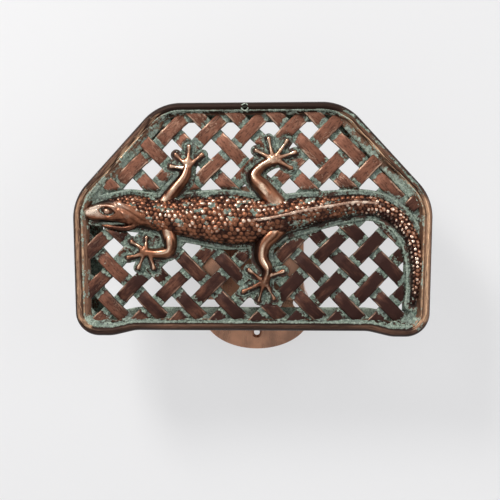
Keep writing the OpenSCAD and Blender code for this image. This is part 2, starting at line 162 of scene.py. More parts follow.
def add_node(tree, kind, output, values=None, **settings):
    """A shader node with its settings and inputs. It returns the output of that name, or all
    outputs if the name is None."""
    node = put(tree.nodes.new("ShaderNode" + kind), **settings)
    fill(tree, node.inputs, values or {})
    return node.outputs[output] if output else node.outputs


def new_group(name, inputs, outputs):
    """A node group; each socket's kind follows from how many numbers its value has."""
    kinds = {1: "NodeSocketFloat", 3: "NodeSocketVector", 4: "NodeSocketColor"}
    group = bpy.data.node_groups.new(name, "ShaderNodeTree")
    for label, value in inputs.items():
        socket = group.interface.new_socket(label, in_out="INPUT",
                                            socket_type=kinds[np.size(value)])
        socket.default_value = value
    for label, size in outputs.items():
        group.interface.new_socket(label, in_out="OUTPUT", socket_type=kinds[size])
    given = group.nodes.new("NodeGroupInput").outputs
    return group, given, group.nodes.new("NodeGroupOutput").inputs


def noise(tree, vector, scale, detail=3.0, roughness=0.6):
    return add_node(tree, "TexNoise", "Fac", {
        "Vector": vector, "Scale": scale, "Detail": detail, "Roughness": roughness})


def compute(tree, operation, *values, clamp=False):
    return add_node(tree, "Math", "Value", dict(enumerate(values)),
                    operation=operation, use_clamp=clamp)


def plus(tree, a, b):
    return compute(tree, "ADD", a, b)


def times(tree, a, b):
    return compute(tree, "MULTIPLY", a, b)


def spread(tree, value, low, high, to_low=0.0, to_high=1.0):
    """Maps low..high to to_low..to_high with a smooth step."""
    return add_node(tree, "MapRange", "Result", {
        "Value": value, "From Min": low, "From Max": high, "To Min": to_low,
        "To Max": to_high}, interpolation_type="SMOOTHSTEP")


def blend(tree, factor, a, b):
    return add_node(tree, "Mix", "Result", {"Factor": factor, "A": a, "B": b},
                    data_type="RGBA")


def new_material(name):
    """A material, its tree and its Principled shader."""
    material = bpy.data.materials.new(name)
    material.use_nodes = True
    return material, material.node_tree, material.node_tree.nodes["Principled BSDF"]


# ---- camera, stage and lamps
MIDDLE = (0, -0.1, -0.02)
CAMERA_PLACE = (0.055, -1.117, -0.018)
CAMERA_TARGET = (-0.0012, -0.117, -0.0189)
CAMERA_LENS = 72.4
WALL_Y = 0.0006
FLOOR_Z = -1.2


def add_object(name, data):
    obj = bpy.data.objects.new(name, data)
    scene.collection.objects.link(obj)
    return obj


def aim(obj, place, target):
    """Puts an object at a place, turned so that it looks at the target."""
    obj.location = place
    obj.rotation_euler = (Vector(target) - obj.location).to_track_quat("-Z", "Y").to_euler()


def add_camera():
    data = put(bpy.data.cameras.new("camera"), sensor_width=36, lens=CAMERA_LENS)
    scene.camera = add_object("camera", data)
    aim(scene.camera, CAMERA_PLACE, CAMERA_TARGET)


def add_lamp(name, place, size, power, colour=(1, 1, 1)):
    data = put(bpy.data.lights.new(name, "AREA"), size=size, energy=power, color=colour)
    aim(add_object(name, data), place, MIDDLE)


def backdrop_rays(tree):
    """1 on the rays by which the camera, metal and glass see the backdrop, else 0."""
    path = add_node(tree, "LightPath", None)
    seen = plus(tree, path["Is Camera Ray"], path["Is Glossy Ray"])
    return compute(tree, "ADD", seen, path["Is Transmission Ray"], clamp=True)


def pale_material(name, colour, glow, see_through_back):
    """Pale matt paint with a share of its own light where it is seen. The wall's back lets
    the camera through, so that the holder shows from behind."""
    material, tree, paint = new_material(name)
    fill(tree, paint.inputs, {"Base Color": colour, "Roughness": 0.9,
                              "Specular IOR Level": 0.1})
    light = add_node(tree, "Emission", "Emission", {"Color": (0.865, 0.865, 0.875)})
    surface = add_node(tree, "MixShader", "Shader", {
        "Fac": times(tree, backdrop_rays(tree), glow), 1: paint.outputs["BSDF"], 2: light})
    if see_through_back:
        surface = add_node(tree, "MixShader", "Shader", {
            "Fac": add_node(tree, "NewGeometry", "Backfacing"), 1: surface,
            2: add_node(tree, "BsdfTransparent", "BSDF")})
    tree.links.new(surface, tree.nodes["Material Output"].inputs["Surface"])
    return material


def flat_sheet(name, corners, material):
    """A single rectangle through four corners, in metres."""
    mesh = bpy.data.meshes.new(name)
    mesh.from_pydata(corners, [], [(0, 1, 2, 3)])
    mesh.materials.append(material)
    sheet = add_object(name, mesh)
    return sheet


def add_stage():
    wall = flat_sheet("wall", [(x, WALL_Y, z) for x, z in (
        (-3, FLOOR_Z), (3, FLOOR_Z), (3, 3), (-3, 3))],
        pale_material("wall_paint", (0.82, 0.82, 0.83), 0.6, True))
    put(wall, visible_diffuse=False, visible_shadow=False)
    flat_sheet("floor", [(x, y, FLOOR_Z) for x, y in ((-4, -5), (4, -5), (4, 4), (-4, 4))],
               pale_material("floor_paint", (0.80, 0.80, 0.81), 0.45, False))


def add_world():
    """Soft studio room, brighter above than below, and paler where it is seen than as light."""
    world = bpy.data.worlds.new("studio")
    scene.world = world
    world.use_nodes = True
    tree = world.node_tree
    height = add_node(tree, "SeparateXYZ", "Z", {0: add_node(tree, "TexCoord", "Generated")})
    colour = add_node(tree, "Mix", "Result", {
        "Factor": backdrop_rays(tree), "A": spread(tree, height, -0.6, 0.7, 0.16, 0.60),
        "B": spread(tree, height, -0.6, 0.5, 0.36, 0.90)})
    tree.links.new(colour, tree.nodes["Background"].inputs["Color"])


scene.view_settings.view_transform = "Standard"
add_camera()
add_stage()
add_world()
add_lamp("key_lamp", (-0.80, -1.25, 1.15), 0.5, 24, (1, 0.985, 0.96))
add_lamp("fill_lamp", (1.3, -1.3, 0.25), 0.9, 5)
add_lamp("back_lamp", (0.4, 1.4, 1.2), 1.4, 8)


# ---- numbers and curves
def vec(*parts):
    """Points from their coordinates, which may be arrays of any shapes that fit together."""
    return np.stack(np.broadcast_arrays(*parts), -1)


def ease(x, low, high):
    """0 below low, 1 above high, and a smooth step between."""
    t = np.clip((x - low) / (high - low), 0, 1)
    return t * t * (3 - 2 * t)


def fall(x, low, high):
    """1 below low, 0 above high, and a smooth step between."""
    return 1 - ease(x, low, high)


def bell(x, middle, width):
    """1 at the middle, falling off as a bell of the given width."""
    return np.exp(-((x - middle) / width) ** 2)


def turns(count):
    """Even angles round a circle."""
    return np.linspace(0, 2 * np.pi, count, endpoint=False)


def away(points, x, y):
    """Distance from a place, in x and y."""
    return np.hypot(points[..., 0] - x, points[..., 1] - y)


def travelled(points, axis=0, closed=False):
    """Length of the way along an axis up to each point; in a closed run the way starts at the
    last point."""
    first = np.take(points, [-1 if closed else 0], axis)
    steps = np.linalg.norm(np.diff(points, axis=axis, prepend=first), axis=-1)
    return np.cumsum(steps, axis)


def unevenness(points, size, seed):
    """Smooth random height between about -1 and 1: the mean of twelve plane waves of about
    the given length, each in its own direction, from a seeded draw."""
    draw = np.random.default_rng(seed)
    total = np.zeros(points.shape[:-1])
    for _ in range(12):
        direction = draw.normal(size=3)
        direction /= np.linalg.norm(direction)
        wave = size * draw.uniform(0.6, 1.5)
        total += np.sin(points @ direction * (2 * np.pi / wave) + draw.uniform(0, 2 * np.pi))
    return total / 5


def catmull_rom(p0, p1, p2, p3, t):
    """The smooth curve through four places, from the second at t = 0 to the third at t = 1."""
    return (2 * p1 + (p2 - p0) * t + (2 * p0 - 5 * p1 + 4 * p2 - p3) * t ** 2
            + (3 * p1 - p0 - 3 * p2 + p3) * t ** 3) / 2


def smooth_run(stations, step):
    """Stations joined by the Catmull-Rom rule and laid out again at an even step in x and y."""
    s = np.asarray(stations, float)
    padded = np.concatenate([s[:1], s, s[-1:]])[:, None]
    t = np.linspace(0, 1, 40, endpoint=False)[:, None]
    fine = catmull_rom(*(padded[k:k + len(s) - 1] for k in range(4)), t)
    fine = np.concatenate([fine.reshape(-1, s.shape[1]), s[-1:]])
    length = travelled(fine[:, :2])
    even = np.linspace(0, length[-1], max(3, int(round(length[-1] / step)) + 1))
    return np.stack([np.interp(even, length, column) for column in fine.T], -1), even


def headings(run):
    """Unit headings along a run in x and y, and the directions to their left."""
    d = np.gradient(run[:, :2], axis=0)
    d /= np.linalg.norm(d, axis=1)[:, None]
    return d, vec(-d[:, 1], d[:, 0])


def nearest(points, a, b):
    """Distance in x and y from points to the line from a to b, and how far along it the
    nearest place lies, from 0 to 1."""
    a, b = np.asarray(a, float), np.asarray(b, float)
    d = b - a
    t = np.clip(((points[..., :2] - a) @ d) / max(d @ d, 1e-9), 0, 1)
    return np.linalg.norm(points[..., :2] - a - t[..., None] * d, axis=-1), t


def near_line(points, line, width):
    """1 on a line through the given places and 0 away from it, a bell of the given width."""
    gaps = [nearest(points, a, b)[0] for a, b in zip(line[:-1], line[1:])]
    return bell(np.min(gaps, axis=0), 0, width)


# ---- making meshes
def wall_frame(points):
    """Row frame metres from plaque millimetres: (x, y, out) goes to (x, -out, y + DATUM)."""
    return vec(points[..., 0], -points[..., 2], points[..., 1] + DATUM) * MM


def read(data, key, size):
    """The values of a mesh's collection, as rows of the given size."""
    values = np.empty(len(data) * size, np.float32)
    data.foreach_get(key, values)
    return values.reshape(-1, size)


def mesh_points(mesh):
    """The mesh's points in plaque millimetres: x, y from the datum, and out."""
    x, y, z = (read(mesh.vertices, "co", 3) / MM).T
    return vec(x, z - DATUM, -y)


def set_values(mesh, values):
    for key, value in values.items():
        layer = mesh.attributes.get(key) or mesh.attributes.new(key, "FLOAT", "POINT")
        layer.data.foreach_set("value", value.ravel().astype(np.float32))


def outward(mesh):
    """Turns the mesh's normals outwards."""
    work = bmesh.new()
    work.from_mesh(mesh)
    bmesh.ops.recalc_face_normals(work, faces=work.faces)
    work.to_mesh(mesh)
    work.free()


def new_mesh(name, points, faces):
    """A closed mesh from plaque millimetres, with its normals turned outwards."""
    mesh = bpy.data.meshes.new(name)
    coords = wall_frame(points.reshape(-1, 3))
    mesh.vertices.add(len(coords))
    mesh.vertices.foreach_set("co", coords.ravel())
    corners = np.concatenate([f.ravel() for f in faces]).astype(np.int32)
    totals = np.concatenate([np.full(len(f), f.shape[1]) for f in faces])
    mesh.loops.add(len(corners))
    mesh.loops.foreach_set("vertex_index", corners)
    mesh.polygons.add(len(totals))
    mesh.polygons.foreach_set("loop_start", (np.cumsum(totals) - totals).astype(np.int32))
    mesh.update(calc_edges=True)
    outward(mesh)
    mesh.shade_smooth()
    return mesh


def add_piece(name, replaces, material, mesh):
    mesh.materials.clear()
    mesh.materials.append(material)
    obj = add_object(name, mesh)
    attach(obj, "root")
    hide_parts(replaces)
    return obj


def make_piece(name, slot, replaces, material, points, faces, values):
    mesh = new_mesh(name, points, faces)
    set_values(mesh, values)
    return add_piece(name, replaces, material, mesh)


def bake_modifiers(obj):
    """Puts the modifiers' result into the mesh, keeping its material."""
    bpy.context.view_layer.update()
    graph = bpy.context.evaluated_depsgraph_get()
    done = bpy.data.meshes.new_from_object(obj.evaluated_get(graph))
    obj.modifiers.clear()
    old, obj.data = obj.data, done
    done.materials.clear()
    done.materials.append(old.materials[0])
    bpy.data.meshes.remove(old)
    outward(done)
    done.shade_smooth()


def finish(low, high, green, **more):
    """What the cast copper reads at each point: low for recess and painted shade, high for wear
    and painted highlight, and green for verdigris.
    """
    values = {"low": low, "high": high, "green": green}
    return {**{key: np.clip(value, 0, 1) for key, value in values.items()}, **more}


def plain(points, low, high, green, **more):
    """The same finish at every point."""
    return finish(*(np.full(len(points), value) for value in (low, high, green)), **more)


def grid_faces(rows, columns, wrap_rows=False):
    """Quads between neighbours of a grid of points that closes on itself along its rows."""
    i = np.arange(rows if wrap_rows else rows - 1)[:, None]
    k = np.arange(columns)[None, :]
    a, b = i * columns, (i + 1) % rows * columns
    after = (k + 1) % columns
    return vec(a + k, a + after, b + after, b + k).reshape(-1, 4)


def swept(rings):
    """A tube of rings (n, m, 3), each end closed by a fan to the middle of its ring."""
    n, m = rings.shape[:2]
    points = np.concatenate([rings.reshape(-1, 3), rings[:1].mean(1), rings[-1:].mean(1)])
    k = np.arange(m)
    after, last = (k + 1) % m, (n - 1) * m
    return points, [grid_faces(n, m), vec(n * m, after, k), vec(n * m + 1, last + k, last + after)]


def with_poles(values):
    """Adds the two pole values to a grid of values, in the order that swept() uses."""
    return np.concatenate([values.ravel(), [values[0].mean(), values[-1].mean()]])


def closed_grid(grid):
    """Points and faces of a grid that closes on itself both ways."""
    return grid.reshape(-1, 3), [grid_faces(*grid.shape[:2], wrap_rows=True)]


def revolved(middle, radius, out):
    """A closed profile of radius and out, turned round the outward line through a place."""
    a = turns(TURNED_SIDES)[:, None]
    return closed_grid(vec(middle[0] + radius * np.cos(a), middle[1] + radius * np.sin(a), out))


def joined(parts):
    """Several (points, faces, values) as one, in the same order."""
    points, faces, values, start = [], [], {}, 0
    for p, f, v in parts:
        points.append(p)
        faces += [g + start for g in f]
        for key, value in v.items():
            values.setdefault(key, []).append(value.ravel())
        start += len(p)
    return np.concatenate(points), faces, {k: np.concatenate(v) for k, v in values.items()}


def outward_normals(grid):
    """Unit normals of a grid of points, turned so that most of them look out from the wall."""
    normal = np.cross(np.gradient(grid, axis=0), np.gradient(grid, axis=1))
    normal /= np.linalg.norm(normal, axis=-1)[..., None] + 1e-9
    return normal * (1 if normal[..., 2].sum() > 0 else -1)


# ---- materials
def build_patina_group():
    """How far verdigris covers the metal: the piece's own green value plus noise of two sizes,
    so that its borders are ragged. It puts out the mask and the crusty colour."""
    group, given, out = new_group(
        "verdigris", {"Vector": (0, 0, 0), "Green": 0.0, "High": 0.0}, {"Mask": 1, "Color": 4})
    coarse, ragged, fine = (noise(group, given["Vector"], *look) for look in (
        (95.0, 3.0), (330.0, 5.0, 0.7), (800.0, 3.0, 0.7)))
    patch = plus(group, times(group, coarse, 0.8), times(group, ragged, 1.1))
    colour = blend(group, spread(group, fine, 0.36, 0.60),
                   (0.037, 0.045, 0.036), (0.19, 0.262, 0.21))
    for share, tint in (
            (spread(group, coarse, 0.46, 0.62, 0.0, 0.5), (0.18, 0.205, 0.19)),
            (spread(group, ragged, 0.47, 0.68), (0.41, 0.49, 0.40)),
            # Where the high value is set, the crust turns paler: on worn raised places, and as a
            # painted highlight.
            (times(group, given["High"], spread(group, fine, 0.3, 0.6)), (0.50, 0.58, 0.48))):
        colour = blend(group, share, colour, tint)
    mask = spread(group, plus(group, patch, given["Green"]), 1.38, 1.52)
    fill(group, out, {"Mask": mask, "Color": colour})
    return group


def build_copper_group():
    """Antique copper: dark in the recesses and in painted shade, brown on the flats, and bright
    where it is worn and where highlights are painted, with coarse and fine mottling, and thin
    bright scratches where a noise crosses its middle."""
    group, given, out = new_group("worn_copper", {
        "Vector": (0, 0, 0), "Low": 0.0, "High": 0.0, "Grain": 900.0, "Mottle": 0.35,
        "Scratch": 0.0, "Dark": (0.05, 0.02, 0.015, 1), "Middle": (0.3, 0.13, 0.09, 1),
        "Bright": (0.8, 0.5, 0.35, 1)}, {"Color": 4, "Height": 1})
    vector, low, dark, bright = (given[key] for key in ("Vector", "Low", "Dark", "Bright"))
    fine = noise(group, vector, given["Grain"], 4.0, 0.65)
    coarse = noise(group, vector, 100.0, 4.0)
    wander = noise(group, vector, 210.0, 2.0)
    uneven = times(group, compute(group, "SUBTRACT", coarse, 0.5), 1.8)
    base = blend(group, spread(group, plus(group, low, uneven), 0.0, 0.9), given["Middle"], dark)
    # The high value brings both wear and painted highlights; here they turn the colour bright.
    wear_and_highlight = times(group, given["High"], spread(group, fine, 0.3, 0.6, 0.7, 1.0))
    shine = blend(group, spread(group, wear_and_highlight, 0.1, 0.95), base, bright)
    mottled = blend(group, spread(group, fine, 0.34, 0.54, given["Mottle"], 0.0), shine, dark)
    off_middle = compute(group, "ABSOLUTE", compute(group, "SUBTRACT", wander, 0.5))
    line = times(group, spread(group, off_middle, 0.004, 0.022, 1.0, 0.0), given["Scratch"])
    where = times(group, spread(group, coarse, 0.48, 0.6), spread(group, low, 0.2, 0.7, 1.0, 0.0))
    fill(group, out, {"Color": blend(group, times(group, line, where), mottled, bright),
                      "Height": fine})
    return group


VERDIGRIS = build_patina_group()
COPPER = build_copper_group()


def attribute(tree, name):
    return add_node(tree, "Attribute", "Fac", attribute_name=name)


def cast_copper(name, dark, middle, bright, metal, smooth, rough, bump, grain=900.0,
                mottle=0.35, scratch=0.0, stretch=None):
    """Antique cast copper with verdigris, by the piece's low, high and green values, where low
    also carries painted shade and high painted highlights. `smooth` and `rough` are the roughness
    of bright and of dull places. With a `stretch` the grain runs along the piece, by its along and
    across values."""
    material, tree, shader = new_material(name)
    coordinates = add_node(tree, "TexCoord", "Object")
    low, high, green = (attribute(tree, key) for key in ("low", "high", "green"))
    vector = coordinates
    if stretch:
        vector = add_node(tree, "CombineXYZ", "Vector", {
            "X": times(tree, attribute(tree, "along"), MM / stretch),
            "Y": times(tree, attribute(tree, "across"), MM)})
    copper = add_node(tree, "Group", None, {
        "Vector": vector, "Low": low, "High": high, "Grain": grain, "Mottle": mottle,
        "Scratch": scratch, "Dark": dark, "Middle": middle, "Bright": bright},
        node_tree=COPPER)
    patina = add_node(tree, "Group", None, {
        "Vector": coordinates, "Green": green, "High": high}, node_tree=VERDIGRIS)
    mask = patina["Mask"]
    dull = spread(tree, high, 0.1, 0.8, rough, smooth)
    fill(tree, shader.inputs, {
        "Specular IOR Level": 0.3,
        "Base Color": blend(tree, mask, copper["Color"], patina["Color"]),
        "Metallic": times(tree, compute(tree, "SUBTRACT", 1.0, mask), metal),
        "Roughness": compute(tree, "MAXIMUM", dull, times(tree, mask, 0.85)),
        "Normal": add_node(tree, "Bump", "Normal", {
            "Strength": bump, "Distance": 0.0006, "Height": plus(tree, copper["Height"], mask)})})
    return material


def satin_metal(name, colour, streak, roughness):
    """Smooth metal with soft upright streaks and faint clouds."""
    material, tree, shader = new_material(name)
    coordinates = add_node(tree, "TexCoord", "Object")
    upright = add_node(tree, "Mapping", "Vector", {"Vector": coordinates,
                                                   "Scale": (1, 1, 0.12)})
    streaks = noise(tree, upright, 100.0, 5.0)
    cloud = noise(tree, coordinates, 28.0)
    tone = spread(tree, plus(tree, times(tree, streaks, 0.25), times(tree, cloud, 0.75)),
                  0.36, 0.62)
    fill(tree, shader.inputs, {
        "Base Color": blend(tree, tone, streak, colour), "Metallic": 0.85,
        "Roughness": spread(tree, streaks, 0.3, 0.7, roughness - 0.07, roughness + 0.08)})
    return material


RIM_COPPER = cast_copper(
    "rim_antique_copper", (0.03, 0.016, 0.012), (0.20, 0.102, 0.066), (0.74, 0.46, 0.28),
    0.75, 0.32, 0.55, 0.3, 700.0, 0.5, 0.6, 7.0)
STRIP_COPPER = cast_copper(
    "strip_antique_copper", (0.034, 0.011, 0.0078), (0.225, 0.092, 0.056), (0.52, 0.33, 0.23),
    0.5, 0.42, 0.6, 0.35, 560.0, 0.66, 0.5, 3.0)
WEB_PATINA = cast_copper(
    "web_verdigris", (0.03, 0.02, 0.016), (0.15, 0.075, 0.055), (0.4, 0.26, 0.18),
    0.3, 0.5, 0.7, 0.7, 800.0)
LIZARD_COPPER = cast_copper(
    "lizard_copper_wear_and_highlight", (0.03, 0.012, 0.009), (0.285, 0.113, 0.060), (1.0, 0.79, 0.63),
    0.85, 0.19, 0.38, 0.2, 900.0, 0.2)
LIMB_COPPER = cast_copper(
    "limb_smooth_copper", (0.045, 0.018, 0.012), (0.31, 0.132, 0.073), (1.0, 0.75, 0.55),
    0.9, 0.2, 0.36, 0.06, 600.0, 0.06)
BRACKET_COPPER = satin_metal("bracket_satin_copper", (0.58, 0.30, 0.19), (0.29, 0.16, 0.11), 0.3)
SCREW_ZINC = satin_metal("screw_zinc", (0.62, 0.63, 0.64), (0.48, 0.49, 0.50), 0.38)
WASHER_ZINC = satin_metal("washer_zinc", (0.50, 0.51, 0.52), (0.38, 0.39, 0.40), 0.42)


# ---- the rim
def outline_stations():
    """Stations round the plaque: x, y, inward normal, face width and lip. Corners are arcs of
    their radius, edges are straight, and widths ease from one edge to the next over the arc."""
    corners = np.array(CORNERS, float)
    ways = np.roll(corners[:, :2], -1, 0) - corners[:, :2]
    ways /= np.linalg.norm(ways, axis=1)[:, None]
    arcs = []
    for before, here, d1, d2 in zip(np.roll(corners, 1, 0), corners, np.roll(ways, 1, 0), ways):
        turn = math.asin(d1[1] * d2[0] - d1[0] * d2[1])
        radius = here[2]
        reach = radius * (-1 if turn < 0 else 1)
        start = here[:2] - d1 * radius * math.tan(abs(turn) / 2)
        centre = start + np.array([d1[1], -d1[0]]) * reach
        count = max(4, int(round(abs(turn) * radius / STATION_STEP)))
        t = np.linspace(0, 1, count + 1)[:, None]
        a = math.atan2(-d1[0], d1[1]) - turn * t
        normal = np.hstack([np.cos(a), np.sin(a)])
        widths = before[3:] + (here[3:] - before[3:]) * ease(t, 0, 1)
        arcs.append(np.hstack([centre - normal * reach, normal, widths]))
    stations = []
    for arc, following in zip(arcs, arcs[1:] + arcs[:1]):
        edge = following[0] - arc[-1]
        count = int(np.linalg.norm(edge[:2]) / STATION_STEP)
        stations += [arc, arc[-1] + edge * np.linspace(0, 1, count + 1)[1:-1, None]]
    return np.concatenate(stations)


STATIONS = outline_stations()
EDGE, INTO = STATIONS[:, :2], STATIONS[:, 2:4]
FACE, LIP = STATIONS[:, 4:5], STATIONS[:, 5:]
EDGE_X, EDGE_Y, STEEP = EDGE[:, :1], EDGE[:, 1:], np.abs(INTO[:, 1:])


def rim_section():
    """The rim's section at every station: crest, groove, ridge, slope down to the strips, and
    the way back inside the wall to the lip. Each point is a distance in and a depth, and the
    Catmull-Rom rule puts one more between each two."""
    on_slant = ease(STEEP, 0.45, 0.65) * fall(STEEP, 0.75, 0.9) * ease(EDGE_Y, 20, 60)
    ledge = FACE + 2.8 + (2.6 + 2.0 * ease(EDGE_X, 40, 120)) * on_slant
    w, d, span = RIM_WALL, RIM_DEPTH, FACE - 6
    middle, half = CREST_OUT - PANEL_OUT, SWING + STRIP_T / 2
    seat, deep = middle - half, middle + half
    keys = [
        (0, 9.5), (0.25, 6), (1.3, 2.9), (3.0, 0.9), (5.0, 0), (6.2 + span * 0.12, 0.9),
        (6.8 + span * 0.22, 2.3), (7.4 + span * 0.33, 1.9), (7.8 + span * 0.44, 2.9),
        (7.2 + span * 0.85, seat * 0.8), (FACE + 1.4, seat + 0.6), (ledge, seat + 2.4),
        (ledge, seat + 4.8), (FACE + 1.2, deep - 0.3), (FACE - 1.2, deep),
        (np.maximum(FACE - 3.4, 5.4), seat + w + 1.6), (5.8 + span * 0.1, w + 1.4),
        (5.4, w + 0.5), (w + 1.5, 4.4), (w + 0.4, 7), (w, 10), (w, 15), (w, 21),
        (w + 0.2, d - 8.5), (w + 1.3, d - 5.4), (5.8, d - 0.9 - w), (9.4, d - w),
        ((9.4 + LIP) / 2, d - w - 0.4), (LIP - 1, d - 1 - w), (LIP, d - 1.7),
        (LIP - 0.9, d - 1), ((9 + LIP) / 2, d - 0.4), (9, d), (4.6, d - 0.8), (1.2, d - 3.8),
        (0.1, d - 8), (0, 21), (0, 14.5)]
    table = np.stack([vec(a + 0 * FACE, b) for a, b in keys], 1)
    fine = catmull_rom(*(np.roll(table, 1 - k, 1) for k in range(4)), np.array([[0], [0.5]]))
    return fine.reshape(len(FACE), -1, 2)


def make_rim():
    """The section carried round the outline, each point at outline + normal * in and crest -
    depth, with the dents of the casting. The rolled crest has a painted highlight along the sides
    and painted shade along the top and bottom; verdigris lies on the ridge, the slope and behind,
    and the back lip along the bottom is painted pale, as if lit."""
    section = rim_section()
    inward, depth = section[..., 0], section[..., 1]
    xy = EDGE[:, None] + INTO[:, None] * inward[..., None]
    grid = vec(xy[..., 0], xy[..., 1], CREST_OUT - depth)
    slope = ease(inward, 6.8, 9) * fall(depth, 7, 12)
    seen = slice(4, 18)
    dent = 0.05 + 0.10 * unevenness(grid, 9, 3) + 0.28 * slope * unevenness(grid, 3.6, 4)
    dent *= fall(depth, 5, 11) * ease(inward, 0.5, 3)
    grid[:, seen] -= outward_normals(grid[:, seen]) * dent[:, seen, None]
    grid[..., 2] = np.minimum(grid[..., 2], CREST_OUT)

    level = ease(STEEP, 0.85, 0.98)
    slant = ease(STEEP, 0.3, 0.6) * (1 - level)
    upright = (1 - level) * (1 - slant)
    right = ease(EDGE_X, 40, 120)
    left_side, right_side = fall(EDGE_X, -120, -40) * upright, right * upright
    bottom = ease(-EDGE_Y, 60, 76)
    span = FACE - 6
    shallow = depth < 6
    outer = ease(depth, 2.2, 6.5) * (inward < 3.2)
    edge = (depth < 12) * fall(inward, 1.2 + 0.8 * left_side - 0.6 * right_side,
                               2.6 + 1.3 * left_side - 1.2 * right_side)
    roll = bell(inward, 4.6 + 1.6 * slant, 2.1 + 0.6 * right * (1 - slant)) * shallow
    groove = bell(inward, 6.8 + span * 0.18, 0.7) * shallow
    ridge = bell(inward, 7.4 + span * 0.33, 0.85) * shallow
    inner = bell(inward, 8.6, 1.9) * shallow * slant
    behind = ease(depth, 9, 14) * (inward > 0.8)
    along = travelled(EDGE, closed=True)[:, None] + 0 * inward
    across = travelled(section, 1, closed=True)
    streak = unevenness(vec(along / 9, across, 0), 1.7, 63)
    patches, speck = unevenness(grid, 26, 8), unevenness(grid, 3.2, 64)
    ragged = 0.75 + 0.35 * unevenness(grid, 7, 9)

    # Painted highlight along the rolled crest: full on the upright sides, most on the right,
    # weaker on the slants, and almost none along the top and bottom.
    wear_and_highlight = (0.57 - 0.55 * level + 0.16 * right_side + 0.14 * bottom
              - slant * (0.34 - 0.204 * streak + 0.16 * right))
    # behind * bottom paints the back lip along the bottom pale, as if lit.
    high = (roll * wear_and_highlight + inner * (0.30 + 0.35 * patches + 0.6 * streak + 0.2 * right)
            + 0.5 * ridge * ragged * (1 - slant) + 0.25 * slope * (1 - level) + behind * bottom)
    # Painted shade: the crest is darkened along the level top and bottom (level).
    low = (0.95 * edge + 0.4 * outer + 0.5 * groove + 0.3 * slope + 0.4 * behind * (1 - bottom)
           + shallow * (level * (0.95 - 0.35 * bottom)
                        + slant * (0.25 - 0.3 * streak + 0.35 * bell(inward, 3.4, 2.2))))
    on_slope = (0.42 + 0.2 * bottom + 0.22 * slant * ease(inward, 10, 13) + 0.14 * patches
                + 0.12 * speck - 0.17 * upright * fall(grid[..., 1], 15, 40))
    on_slant = slant * (0.16 + 0.44 * right - 0.4 * streak) * bell(inward, 3.8, 2.6) * shallow
    green = (0.60 * ridge * ragged * (1 - 0.75 * slant) * (1 - 0.4 * upright) + 0.10 * outer
             + slope * on_slope + on_slant + (0.6 + 0.35 * bottom) * behind + 0.08 * patches)
    return make_piece("rim", "rim_copper", "front_rim", RIM_COPPER, *closed_grid(grid),
                      finish(low, high, green, along=along, across=across))


def drill(obj, middle, radius, low_out, high_out):
    """Cuts a round hole along the outward line through a place, and gives its wall the dull
    green finish."""
    a = turns(32)
    mesh = new_mesh("cutter", *swept(vec(
        middle[0] + radius * np.cos(a), middle[1] + radius * np.sin(a),
        np.array([[low_out], [high_out]]))))
    cutter = add_object("cutter", mesh)
    put(obj.modifiers.new("hole", "BOOLEAN"), solver="EXACT", object=cutter)
    bake_modifiers(obj)
    bpy.data.objects.remove(cutter)
    bpy.data.meshes.remove(mesh)
    near = away(mesh_points(obj.data), *middle) < radius + 0.05
    for key, value in (("low", 0.9), ("high", 0.0), ("green", 0.35)):
        values = read(obj.data.attributes[key].data, "value", 1)
        values[near] = value
        set_values(obj.data, {key: values})


def make_eyelet():
    """The small raised ring round the hole in the top of the rim: a circle turned round it."""
    b = turns(12)
    points, faces = revolved(HOLE, HOLE_R + 0.6 + 0.6 * np.cos(b), CREST_OUT - 1 + 0.6 * np.sin(b))
    make_piece("rim_eyelet", "rim_copper", "front_rim", RIM_COPPER, points, faces, plain(
        points, 0.2, 0.95, 0.75, along=points[:, 0], across=points[:, 1]))


drill(make_rim(), HOLE, HOLE_R, CREST_OUT - 12, CREST_OUT + 3)
make_eyelet()


# ---- distance to the lizard
BODY_RUN = smooth_run(SPINE, 3.0)[0]
LEG_RUNS = [smooth_run(leg, 3.0)[0] for leg, _, _ in LEGS]


def distance_to(points, run, margin):
    """Least distance in x and y from points to a run of round cones, less the margin."""
    best = np.full(points.shape[:-1], 1e9)
    for p, q in zip(run[:-1], run[1:]):
        gap, t = nearest(points, p[:2], q[:2])
        best = np.minimum(best, gap - (p[2] + (q[2] - p[2]) * t))
    return best - margin


def distance_to_lizard(points, body=0.0, leg=0.0, toe=0.0):
    """Distance to the lizard's outline grown by a margin for each kind of limb, negative
    inside."""
    gaps = [distance_to(points, BODY_RUN, body)]
    for run, (_, palm, toes) in zip(LEG_RUNS, LEGS):
        gaps += [distance_to(points, run, leg), away(points, *palm) - PALM_R - leg]
        gaps += [distance_to(points, [(*tip[:2], TOE_R), (*tip[2:], TOE_TIP_R)], toe)
                 for tip in toes]
    return np.min(gaps, axis=0)


def distance_to_web(points):
    """Distance to the edge of the web that carries the lizard, negative on the web. It has a
    small round patch beside a toe of the front foot."""
    return np.minimum(distance_to_lizard(points, WEB_MARGIN, LIMB_MARGIN + 1, LIMB_MARGIN),
                      away(points, -98, 7) - 5)


# ---- the woven strips
def crossing_range(origin, direction, polygon):
    """Least and greatest distance along a line at which it crosses a closed polygon."""
    d = np.roll(polygon, -1, axis=0) - polygon
    cross = direction[0] * d[:, 1] - direction[1] * d[:, 0]
    cross = np.where(np.abs(cross) < 1e-9, 1e-9, cross)
    w = polygon - origin
    u = (w[:, 0] * d[:, 1] - w[:, 1] * d[:, 0]) / cross
    t = (w[:, 0] * direction[1] - w[:, 1] * direction[0]) / cross
    hits = u[(t >= 0) & (t < 1)]
    return (hits.min(), hits.max()) if len(hits) > 1 else None


def wave_height(u, over):
    """Middle height of a strip: level over each crossing, a cosine between one and the next,
    and the sign changes from crossing to crossing."""
    i = np.floor(u / PITCH + 0.5)
    sign = np.where((i + over) % 2 == 0, 1.0, -1.0)
    t = (np.abs(u - i * PITCH) - STRIP_FLAT) / (PITCH - 2 * STRIP_FLAT)
    return SWING * sign * np.cos(np.pi * np.clip(t, 0, 1))


